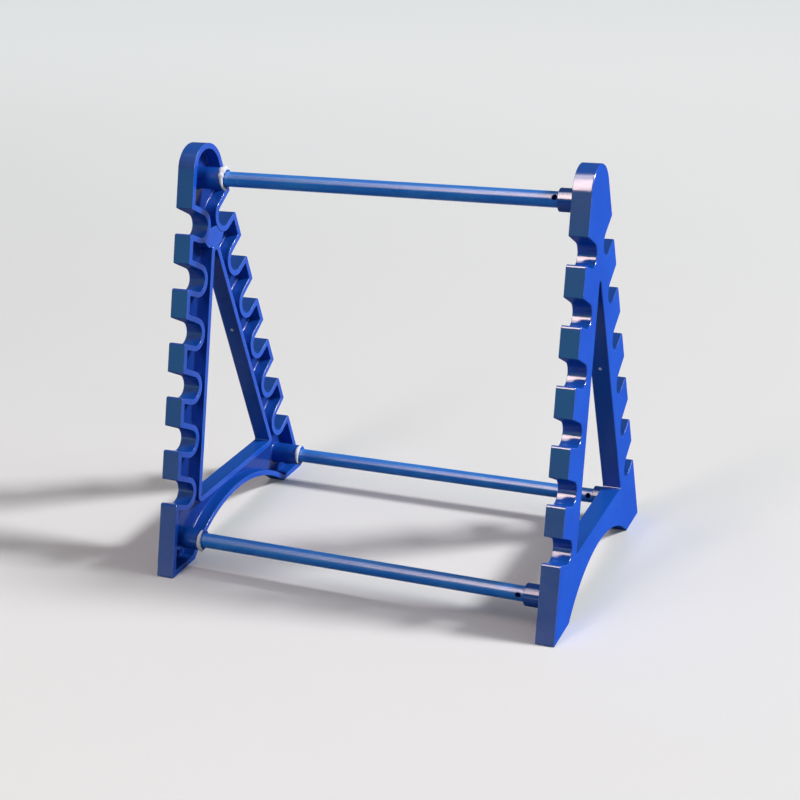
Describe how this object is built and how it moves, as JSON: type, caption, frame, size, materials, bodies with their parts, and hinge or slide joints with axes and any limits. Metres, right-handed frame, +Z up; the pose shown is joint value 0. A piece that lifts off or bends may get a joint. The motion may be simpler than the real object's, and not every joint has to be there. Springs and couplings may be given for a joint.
{
  "type": "pipette rack",
  "caption": "Free-standing A-frame pipette rack: slotted triangular end frames joined by round tubes, holding pipettes crosswise in sloping slots.",
  "frame": {"origin": "on the floor, under the middle of the rack", "axes": "+X along the tubes towards the right end frame, +Y from front to back, +Z up"},
  "size_m": [0.225, 0.154, 0.22],
  "materials": {
    "blue_plastic": "royal blue moulded plastic, satin gloss",
    "blue_coating": "blue coated tube, satin with a fine speckle",
    "white_glue": "set white glue, uneven"
  },
  "bodies": {
    "root": {"left_end_frame": "blue_plastic", "right_end_frame": "blue_plastic", "top_tube": "blue_coating", "front_tube": "blue_coating", "rear_tube": "blue_coating", "top_glue_bead": "white_glue", "front_glue_bead": "white_glue", "rear_glue_bead": "white_glue"}
  },
  "joints": []
}
